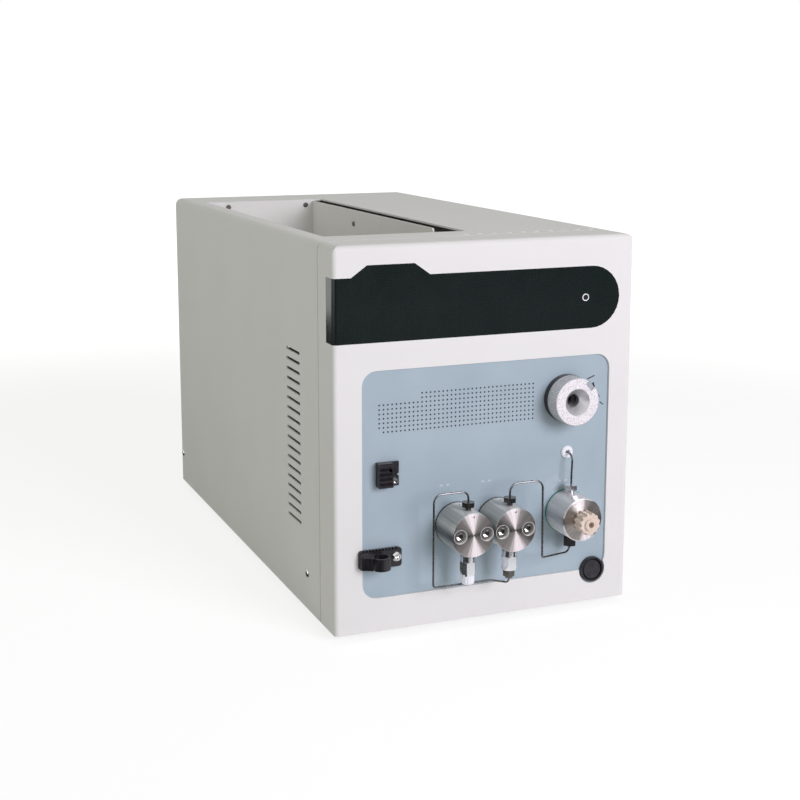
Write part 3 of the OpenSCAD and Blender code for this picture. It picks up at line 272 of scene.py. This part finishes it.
# Injector knob: aluminium, turned, diamond-knurled on its edge and bead-blasted on its face.
# The solid's edge has straight ridges, and their slant into diamonds is bump.
# The blasted face scatters like a matt white with sparkles; bore and edge stay satin metal.
# Knurl and beads are really 0.8 mm and 0.1 mm; they are drawn as 2 mm and 0.9 mm to show.
injectorKnob = {"colours": ("#d3cdd0", "#fbf8fa"), "faceRough": 0.5, "faceMetal": 0.15, "bead": 0.9,
                "beadHeight": 0.05, "beadSpan": (0.36, 0.6), "boreColour": "#d6d6d8", "boreRadius": 10.9,
                "boreRough": 0.42, "plainMetal": 0.85, "edgeRadius": 19.1, "edgeRough": 0.34, "knurls": 60,
                "knurlSlant": 1.55, "knurlHeight": 0.55, "pocketShadeColour": "#a9afb6", "pocketDepth": 1.8,
                "pocketSlack": 0.15, "pocketFrom": 14.0}


# The knurl's height is |sin(a + b)| times |sin(a - b)|, a the angle times half the count, b the length times
# the slant, which leaves small diamonds; masks of the distance from the axis say where each finish lies.
# The index pocket's floor is where the depth behind the face is the pocket's own; it is milled and plain, and it is
# painted darker than the face, a painted shade that makes the recess show.
def injectorKnobFinish():
    p = injectorKnob
    material, tree, shader = newMaterial("blastedAluminium")
    centre = middleOf("injector_knob")
    front = (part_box("injector_knob")[0][1] - origin[1]) * 1000
    point = casingPoint(tree)
    away = addNode(tree, "ShaderNodeVectorMath", {0: point, 1: (-centre[0], -front, -centre[2])},
                   operation="ADD").outputs[0]
    parts = addNode(tree, "ShaderNodeSeparateXYZ", {0: away})
    flat = addNode(tree, "ShaderNodeVectorMath", {0: away, 1: (1, 0, 1)}, operation="MULTIPLY").outputs[0]
    radius = addNode(tree, "ShaderNodeVectorMath", {0: flat}, operation="LENGTH").outputs["Value"]
    inBore = addNode(tree, "ShaderNodeMath", {0: radius, 1: p["boreRadius"]}, operation="LESS_THAN").outputs[0]
    onEdge = addNode(tree, "ShaderNodeMath", {0: radius, 1: p["edgeRadius"]}, operation="GREATER_THAN").outputs[0]

    behind = addNode(tree, "ShaderNodeMath", {0: parts.outputs["Y"], 1: p["pocketDepth"], 2: p["pocketSlack"]},
                     operation="COMPARE").outputs[0]
    outside = addNode(tree, "ShaderNodeMath", {0: radius, 1: p["pocketFrom"]}, operation="GREATER_THAN").outputs[0]
    inPocketShade = addNode(tree, "ShaderNodeMath", {0: behind, 1: outside}, operation="MULTIPLY").outputs[0]

    speckle = addNode(tree, "ShaderNodeTexNoise", {"Vector": point, "Scale": 1 / p["bead"], "Detail": 2.0})
    share = addNode(tree, "ShaderNodeMapRange", {"Value": speckle.outputs["Fac"], "From Min": p["beadSpan"][0],
                                                 "From Max": p["beadSpan"][1]})
    face = addNode(tree, "ShaderNodeMix", {"Factor": share.outputs["Result"], "A": hexColour(p["colours"][0]),
                                           "B": hexColour(p["colours"][1])}, data_type="RGBA").outputs["Result"]
    plain = addNode(tree, "ShaderNodeMath", {0: inBore, 1: onEdge}, operation="MAXIMUM").outputs[0]
    colour = addNode(tree, "ShaderNodeMix", {"Factor": plain, "A": face, "B": hexColour(p["boreColour"])},
                     data_type="RGBA").outputs["Result"]
    # Painted shade: the pocket's floor is darker than the face round it
    colour = addNode(tree, "ShaderNodeMix", {"Factor": inPocketShade, "A": colour, "B": hexColour(p["pocketShadeColour"])},
                     data_type="RGBA").outputs["Result"]
    tree.links.new(colour, shader.inputs["Base Color"])
    metallic = addNode(tree, "ShaderNodeMapRange", {"Value": plain, "To Min": p["faceMetal"],
                                                    "To Max": p["plainMetal"]})
    tree.links.new(metallic.outputs["Result"], shader.inputs["Metallic"])
    boreOrFace = addNode(tree, "ShaderNodeMapRange", {"Value": inBore, "To Min": p["faceRough"],
                                                      "To Max": p["boreRough"]}).outputs["Result"]
    rough = addNode(tree, "ShaderNodeMix", {"Factor": onEdge, "A": boreOrFace, "B": p["edgeRough"]},
                    data_type="FLOAT").outputs["Result"]
    tree.links.new(rough, shader.inputs["Roughness"])

    angle = addNode(tree, "ShaderNodeMath", {0: parts.outputs["Z"], 1: parts.outputs["X"]},
                    operation="ARCTAN2").outputs[0]
    a = addNode(tree, "ShaderNodeMath", {0: angle, 1: p["knurls"] / 2}, operation="MULTIPLY").outputs[0]
    b = addNode(tree, "ShaderNodeMath", {0: parts.outputs["Y"], 1: p["knurlSlant"]}, operation="MULTIPLY").outputs[0]
    height = onEdge
    for way in ("ADD", "SUBTRACT"):
        slant = addNode(tree, "ShaderNodeMath", {0: a, 1: b}, operation=way).outputs[0]
        wave = addNode(tree, "ShaderNodeMath", {0: slant}, operation="SINE").outputs[0]
        ridge = addNode(tree, "ShaderNodeMath", {0: wave}, operation="ABSOLUTE").outputs[0]
        height = addNode(tree, "ShaderNodeMath", {0: height, 1: ridge}, operation="MULTIPLY").outputs[0]
    knurl = addNode(tree, "ShaderNodeBump", {"Height": height, "Strength": 0.9, "Distance": p["knurlHeight"] / 1000})
    beads = addNode(tree, "ShaderNodeMath", {0: 1.0, 1: plain}, operation="SUBTRACT").outputs[0]
    beadHeight = addNode(tree, "ShaderNodeMath", {0: speckle.outputs["Fac"], 1: beads},
                         operation="MULTIPLY").outputs[0]
    blasted = addNode(tree, "ShaderNodeBump", {"Height": beadHeight, "Strength": 0.8,
                                               "Distance": p["beadHeight"] / 1000,
                                               "Normal": knurl.outputs["Normal"]})
    tree.links.new(blasted.outputs["Normal"], shader.inputs["Normal"])
    return material


wear("injector_knob", injectorKnobFinish())

# Display window: smoked acrylic over a dark display. Its fine mesh is really 0.3 mm and is drawn as 1.5 mm.
window = {"colours": ("#0f1615", "#151d1b"), "cloud": 30, "mesh": "#1a2422", "pitch": 1.5, "wire": 0.3, "soft": 0.1,
          "rough": (0.1, 0.16), "patch": 18, "wave": (4.0, 0.005), "waveStrength": 0.3, "ior": 1.49}


# The mesh shows where the fraction of x or of z, in pitches, is under the wire's share
def windowFinish():
    material, tree, shader = newMaterial("smokedAcrylic")
    point = casingPoint(tree)
    cells = addNode(tree, "ShaderNodeVectorMath", {0: point, "Scale": 1 / window["pitch"]},
                    operation="SCALE").outputs[0]
    cell = addNode(tree, "ShaderNodeVectorMath", {0: cells}, operation="FRACTION").outputs[0]
    parts = addNode(tree, "ShaderNodeSeparateXYZ", {0: cell})
    least = addNode(tree, "ShaderNodeMath", {0: parts.outputs["X"], 1: parts.outputs["Z"]},
                    operation="MINIMUM").outputs[0]
    wire = addNode(tree, "ShaderNodeMapRange", {"Value": least, "From Min": window["wire"] + window["soft"],
                                                "From Max": window["wire"] - window["soft"]}).outputs["Result"]
    glass = tint(tree, point, window["colours"], window["cloud"])
    colour = addNode(tree, "ShaderNodeMix", {"Factor": wire, "A": glass, "B": hexColour(window["mesh"])},
                     data_type="RGBA").outputs["Result"]
    tree.links.new(colour, shader.inputs["Base Color"])
    tree.links.new(drift(tree, point, *window["rough"], window["patch"]), shader.inputs["Roughness"])
    tree.links.new(grained(tree, point, *window["wave"], window["waveStrength"]), shader.inputs["Normal"])
    shader.inputs["IOR"].default_value = window["ior"]
    return material


wear("display_window", windowFinish())

# Status light: a thin white printed ring round a clear lens over a dark hole
statusLight = {"ring": "#f3f4f3", "lens": "#1d2424", "ringWidth": 0.75, "rough": (0.2, 0.3), "patch": 1}


def statusFinish():
    material, tree, shader = newMaterial("printedRingLens")
    point = casingPoint(tree)
    centre = middleOf("status_led")
    low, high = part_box("status_led")
    lensRadius = (high[0] - low[0]) * 500 - statusLight["ringWidth"]
    away = addNode(tree, "ShaderNodeVectorMath", {0: point, 1: (-centre[0], 0, -centre[2])},
                   operation="ADD").outputs[0]
    flat = addNode(tree, "ShaderNodeVectorMath", {0: away, 1: (1, 0, 1)}, operation="MULTIPLY").outputs[0]
    radius = addNode(tree, "ShaderNodeVectorMath", {0: flat}, operation="LENGTH").outputs["Value"]
    onRing = addNode(tree, "ShaderNodeMath", {0: radius, 1: lensRadius},
                     operation="GREATER_THAN").outputs[0]
    colour = addNode(tree, "ShaderNodeMix", {"Factor": onRing, "A": hexColour(statusLight["lens"]),
                                             "B": hexColour(statusLight["ring"])}, data_type="RGBA").outputs["Result"]
    tree.links.new(colour, shader.inputs["Base Color"])
    tree.links.new(drift(tree, point, *statusLight["rough"], statusLight["patch"]), shader.inputs["Roughness"])
    return material


wear("status_led", statusFinish())
print("stage: knob, window and status light made")

# Front panel: grey-blue satin enamel on flat sheet, smooth enough for a soft sheen, with screen-printed marks,
# and with pale painted reflections of the fittings
panel = {"colours": ("#a4b5bf", "#abbbc4"), "cloud": 60, "rough": (0.3, 0.4), "patch": 25, "grain": (1.0, 0.012),
         "strength": 0.4, "ior": 1.5, "ink": "#1b1e22", "reflectionColour": "#c9d2db"}
# A field of dots, with its upper left part and its lowest left dot bare
dots = {"pitch": 3.6, "radius": 0.72, "soft": 0.108, "first": (38.0, 161.2), "columns": 38, "rows": 9,
        "bareColumns": 10, "bareRows": 2}
# A tapered stroke beside the injector knob from load to inject, and a short dash at each end
stroke = {"start": (226.0, 186.6), "end": (233.1, 173.6), "startWidth": 1.7, "endWidth": 0.35, "sag": 0.5}
dashes = [((220.6, 189.8), (227.4, 192.4), 0.9), ((232.9, 169.9), (236.2, 167.3), 0.9)]
# Pairs of pale triangles above the pump heads and the purge valve, pointing away from each other: painted
# reflections of the fittings in the glossy enamel
panelReflections = {"centres": ((93.7, 113.4), (130.3, 113.1), (200.0, 106.3)), "inner": 1.8, "outer": 5.0, "halfHeight": 1.0}


# Share of ink on a straight mark from start to end: along is the distance along it and across the distance
# from its line, both by dot products with its unit vectors; the line bows by sag times 4 t (1 - t)
def strokeInk(tree, point, start, end, startWidth, endWidth, sag=0.0):
    start, end = np.array(start), np.array(end)
    length = float(np.linalg.norm(end - start))
    u = (end - start) / length
    local = addNode(tree, "ShaderNodeVectorMath", {0: point, 1: (-start[0], 0, -start[1])},
                    operation="ADD").outputs[0]
    along = addNode(tree, "ShaderNodeVectorMath", {0: local, 1: (u[0], 0, u[1])},
                    operation="DOT_PRODUCT").outputs["Value"]
    across = addNode(tree, "ShaderNodeVectorMath", {0: local, 1: (u[1], 0, -u[0])},
                     operation="DOT_PRODUCT").outputs["Value"]
    t = addNode(tree, "ShaderNodeMapRange", {"Value": along, "From Max": length}).outputs["Result"]
    rest = addNode(tree, "ShaderNodeMath", {0: 1.0, 1: t}, operation="SUBTRACT").outputs[0]
    bow = addNode(tree, "ShaderNodeMath", {0: t, 1: rest}, operation="MULTIPLY").outputs[0]
    bend = addNode(tree, "ShaderNodeMath", {0: bow, 1: -4 * sag, 2: across}, operation="MULTIPLY_ADD").outputs[0]
    off = addNode(tree, "ShaderNodeMath", {0: bend}, operation="ABSOLUTE").outputs[0]
    half = addNode(tree, "ShaderNodeMapRange", {"Value": t, "To Min": startWidth / 2, "To Max": endWidth / 2})
    inside = addNode(tree, "ShaderNodeMath", {0: off, 1: half.outputs["Result"]}, operation="LESS_THAN").outputs[0]
    past = addNode(tree, "ShaderNodeMath", {0: along, 1: length / 2, 2: length / 2}, operation="COMPARE").outputs[0]
    return addNode(tree, "ShaderNodeMath", {0: inside, 1: past}, operation="MULTIPLY").outputs[0]


# Share of painted reflection on a pair of pale triangles: with x from the pair's centre, it lies where |x| is between
# inner and outer and |z| is under the half height times the share of the way left to the tip
def reflectionShare(tree, point, centre):
    local = addNode(tree, "ShaderNodeVectorMath", {0: point, 1: (-centre[0], 0, -centre[1])},
                    operation="ADD").outputs[0]
    size = addNode(tree, "ShaderNodeVectorMath", {0: local}, operation="ABSOLUTE").outputs[0]
    parts = addNode(tree, "ShaderNodeSeparateXYZ", {0: size})
    half = addNode(tree, "ShaderNodeMapRange", {"Value": parts.outputs["X"], "From Min": panelReflections["inner"],
                                                "From Max": panelReflections["outer"], "To Min": panelReflections["halfHeight"],
                                                "To Max": 0.0}).outputs["Result"]
    inside = addNode(tree, "ShaderNodeMath", {0: parts.outputs["Z"], 1: half}, operation="LESS_THAN").outputs[0]
    beyond = addNode(tree, "ShaderNodeMath", {0: parts.outputs["X"], 1: panelReflections["inner"]},
                     operation="GREATER_THAN").outputs[0]
    return addNode(tree, "ShaderNodeMath", {0: inside, 1: beyond}, operation="MULTIPLY").outputs[0]


# Share of ink on the dots: in pitches, the distance to the nearest dot's centre is the length of the fractions
# of u and v less a half, and ink lies where it is under the dot's radius and the dot is printed
def dotInk(tree, point):
    pitch = dots["pitch"]
    shift = (0.5 - dots["first"][0] / pitch, 0, 0.5 - dots["first"][1] / pitch)
    grid = addNode(tree, "ShaderNodeVectorMath", {0: point, 1: (1 / pitch, 0, 1 / pitch), 2: shift},
                   operation="MULTIPLY_ADD").outputs[0]
    cell = addNode(tree, "ShaderNodeVectorMath", {0: grid}, operation="FRACTION").outputs[0]
    centred = addNode(tree, "ShaderNodeVectorMath", {0: cell, 1: (-0.5, 0, -0.5)}, operation="ADD").outputs[0]
    away = addNode(tree, "ShaderNodeVectorMath", {0: centred}, operation="LENGTH").outputs["Value"]
    radius, soft = dots["radius"] / pitch, dots["soft"] / pitch
    ink = addNode(tree, "ShaderNodeMapRange", {"Value": away, "From Min": radius + soft,
                                               "From Max": radius - soft}).outputs["Result"]
    parts = addNode(tree, "ShaderNodeSeparateXYZ", {0: grid})
    u, v = parts.outputs["X"], parts.outputs["Z"]
    for place, count in ((u, dots["columns"]), (v, dots["rows"])):
        inside = addNode(tree, "ShaderNodeMath", {0: place, 1: count / 2, 2: count / 2},
                         operation="COMPARE").outputs[0]
        ink = addNode(tree, "ShaderNodeMath", {0: ink, 1: inside}, operation="MULTIPLY").outputs[0]
    for left, low, high in ((dots["bareColumns"], dots["rows"] - dots["bareRows"], dots["rows"]), (1, 0, 1)):
        column = addNode(tree, "ShaderNodeMath", {0: u, 1: left}, operation="LESS_THAN").outputs[0]
        row = addNode(tree, "ShaderNodeMath", {0: v, 1: (low + high) / 2, 2: (high - low) / 2},
                      operation="COMPARE").outputs[0]
        bare = addNode(tree, "ShaderNodeMath", {0: column, 1: row}, operation="MULTIPLY").outputs[0]
        shown = addNode(tree, "ShaderNodeMath", {0: 1.0, 1: bare}, operation="SUBTRACT").outputs[0]
        ink = addNode(tree, "ShaderNodeMath", {0: ink, 1: shown}, operation="MULTIPLY").outputs[0]
    return ink


def panelFinish():
    p = panel
    material, tree, shader = newMaterial("satinEnamelPrinted")
    point = casingPoint(tree)
    colour = tint(tree, point, p["colours"], p["cloud"])
    # Painted reflections: pale triangles mixed into the enamel's colour
    for centre in panelReflections["centres"]:
        colour = addNode(tree, "ShaderNodeMix", {"Factor": reflectionShare(tree, point, centre), "A": colour,
                                                 "B": hexColour(p["reflectionColour"])}, data_type="RGBA").outputs["Result"]
    inks = [dotInk(tree, point), strokeInk(tree, point, **stroke)]
    inks += [strokeInk(tree, point, start, end, width, width) for start, end, width in dashes]
    for ink in inks:
        colour = addNode(tree, "ShaderNodeMix", {"Factor": ink, "A": colour, "B": hexColour(p["ink"])},
                         data_type="RGBA").outputs["Result"]
    tree.links.new(colour, shader.inputs["Base Color"])
    tree.links.new(drift(tree, point, *p["rough"], p["patch"]), shader.inputs["Roughness"])
    tree.links.new(grained(tree, point, *p["grain"], p["strength"]), shader.inputs["Normal"])
    shader.inputs["IOR"].default_value = p["ior"]
    return material


wear("front_panel", panelFinish())
print("stage: panel made")

# Camera, with its eye in casing millimetres
view = {"eye": (-356.0, -1011.1, 426.1), "turn": 21.86, "down": 10.21, "focal": 1440 / 800 * 36,
        "shift": (6 / 800, -55 / 800)}
cameraData = bpy.data.cameras.new("camera")
cameraData.lens = view["focal"]
cameraData.sensor_width = 36
cameraData.shift_x, cameraData.shift_y = view["shift"]
cameraData.clip_end = 20
camera = bpy.data.objects.new("camera", cameraData)
camera.location = at(*view["eye"])
camera.rotation_euler = (math.radians(90 - view["down"]), 0, math.radians(-view["turn"]))
scene.collection.objects.link(camera)
scene.camera = camera

# Softboxes: place and target in metres, size in metres, power in watts
softboxes = {
    "keyLight": dict(place=(0.8, -2.5, 1.0), target=(0, -0.2, 0.15), size=(1.2, 1.2), power=42,
                     tint=(1.0, 0.96, 1.07)),
    "topLight": dict(place=(0.1, 0.2, 2.2), target=(0, 0, 0.1), size=(1.6, 1.6), power=3.3,
                     tint=(0.96, 1.0, 1.06)),
    "sideFill": dict(place=(-2.4, -0.1, 0.7), target=(0, 0, 0.15), size=(1.4, 1.4), power=6.5,
                     tint=(0.98, 1.0, 0.92)),
}
for name, box in softboxes.items():
    data = bpy.data.lights.new(name, "AREA")
    data.shape = "RECTANGLE"
    data.size, data.size_y = box["size"]
    data.energy = box["power"]
    data.color = box["tint"]
    lamp = bpy.data.objects.new(name, data)
    lamp.location = box["place"]
    lamp.rotation_euler = (Vector(box["target"]) - Vector(box["place"])).to_track_quat("-Z", "Y").to_euler()
    scene.collection.objects.link(lamp)

# The room: soft even light, and a white backdrop for what the camera, metal and glass see of it
room = {"ambient": 0.32, "tint": (0.99, 1.0, 0.93, 1.0), "backdrop": 1.0}


# One where a ray comes from the camera, a mirror or glass, and so should see the white backdrop
def seesBackdrop(tree):
    path = addNode(tree, "ShaderNodeLightPath")
    direct = addNode(tree, "ShaderNodeMath", {0: path.outputs["Is Camera Ray"], 1: path.outputs["Is Glossy Ray"]},
                     operation="MAXIMUM").outputs[0]
    return addNode(tree, "ShaderNodeMath", {0: direct, 1: path.outputs["Is Transmission Ray"]},
                   operation="MAXIMUM").outputs[0]


world = bpy.data.worlds.new("studio")
scene.world = world
world.use_nodes = True
sky = world.node_tree
sky.nodes.clear()
ambient = addNode(sky, "ShaderNodeBackground", {"Color": room["tint"], "Strength": room["ambient"]})
backdrop = addNode(sky, "ShaderNodeBackground", {"Color": (1, 1, 1, 1), "Strength": room["backdrop"]})
roomLight = addNode(sky, "ShaderNodeMixShader", {0: seesBackdrop(sky), 1: ambient.outputs[0], 2: backdrop.outputs[0]})
addNode(sky, "ShaderNodeOutputWorld", {"Surface": roomLight.outputs[0]})

# Floor: pale paper; where the backdrop is seen its glow rises to white away from the object and its own
# colour, which carries the shadow, fades out
paper = {"half": 6.0, "colour": "#f2f2f2", "glow": 0.76, "shadowColour": "#a2a2a2", "near": 0.7, "far": 1.8}


def floorSurface():
    half = paper["half"]
    mesh = bpy.data.meshes.new("floor")
    mesh.from_pydata([(-half, -half, 0), (half, -half, 0), (half, half, 0), (-half, half, 0)], [], [(0, 1, 2, 3)])
    floor = bpy.data.objects.new("floor", mesh)
    scene.collection.objects.link(floor)
    material, tree, shader = newMaterial("palePaper")
    shader.inputs["Base Color"].default_value = hexColour(paper["colour"])
    shader.inputs["Roughness"].default_value = 0.9
    point = addNode(tree, "ShaderNodeTexCoord").outputs["Object"]
    away = addNode(tree, "ShaderNodeVectorMath", {0: point}, operation="LENGTH").outputs["Value"]
    far = addNode(tree, "ShaderNodeMapRange", {"Value": away, "From Min": paper["near"], "From Max": paper["far"]},
                  interpolation_type="SMOOTHSTEP").outputs["Result"]
    glow = addNode(tree, "ShaderNodeMapRange", {"Value": far, "To Min": paper["glow"],
                                                "To Max": 1.0}).outputs["Result"]
    lit = addNode(tree, "ShaderNodeEmission", {"Color": (1, 1, 1, 1), "Strength": glow}).outputs[0]
    shade = addNode(tree, "ShaderNodeBsdfDiffuse", {"Color": hexColour(paper["shadowColour"])}).outputs[0]
    seen = addNode(tree, "ShaderNodeAddShader", {0: lit, 1: shade}).outputs[0]
    surface = addNode(tree, "ShaderNodeMixShader", {0: seesBackdrop(tree), 1: shader.outputs[0], 2: seen}).outputs[0]
    output = next(n for n in tree.nodes if n.type == "OUTPUT_MATERIAL")
    tree.links.new(surface, output.inputs["Surface"])
    mesh.materials.append(material)


floorSurface()

# Black cards round the front, set as in a studio so that polished metal shows dark beside bright.
# Only reflections see them. Each lying card is x0, x1, y0, y1 in metres; a gap under the valves stays white,
# so that their front flats shine. Each standing card is x0, y0, x1, y1 and its height; the low one in the
# middle leaves the backdrop free above it, which the turned faces draw out into their bright wedges.
cards = {"lying": [(-1.6, 2.2, -2.4, -0.44), (-1.6, -0.06, -0.44, -0.27), (0.13, 2.2, -0.44, -0.27),
                   (-2.4, -0.13, -0.27, 1.3)],
         "standing": [(-2.4, -2.4, 0.0, -2.4, 1.4), (0.0, -2.4, 2.2, -2.4, 0.3), (2.2, -2.4, 2.4, 0.4, 1.1)],
         "lift": 0.002, "colour": "#0c0c0d"}


def blackCards():
    low = cards["lift"]
    corners = []
    for x0, y0, x1, y1, high in cards["standing"]:
        corners += [(x0, y0, low), (x1, y1, low), (x1, y1, high), (x0, y0, high)]
    for x0, x1, y0, y1 in cards["lying"]:
        corners += [(x0, y0, low), (x1, y0, low), (x1, y1, low), (x0, y1, low)]
    mesh = bpy.data.meshes.new("blackCards")
    mesh.from_pydata(corners, [], np.arange(len(corners)).reshape(-1, 4).tolist())
    card = bpy.data.objects.new("blackCards", mesh)
    scene.collection.objects.link(card)
    card.visible_camera = card.visible_diffuse = card.visible_shadow = card.visible_transmission = False
    material, tree, shader = newMaterial("blackCard")
    shader.inputs["Base Color"].default_value = hexColour(cards["colour"])
    shader.inputs["Roughness"].default_value = 0.9
    mesh.materials.append(material)


blackCards()
print("stage: camera, lights and floor made")
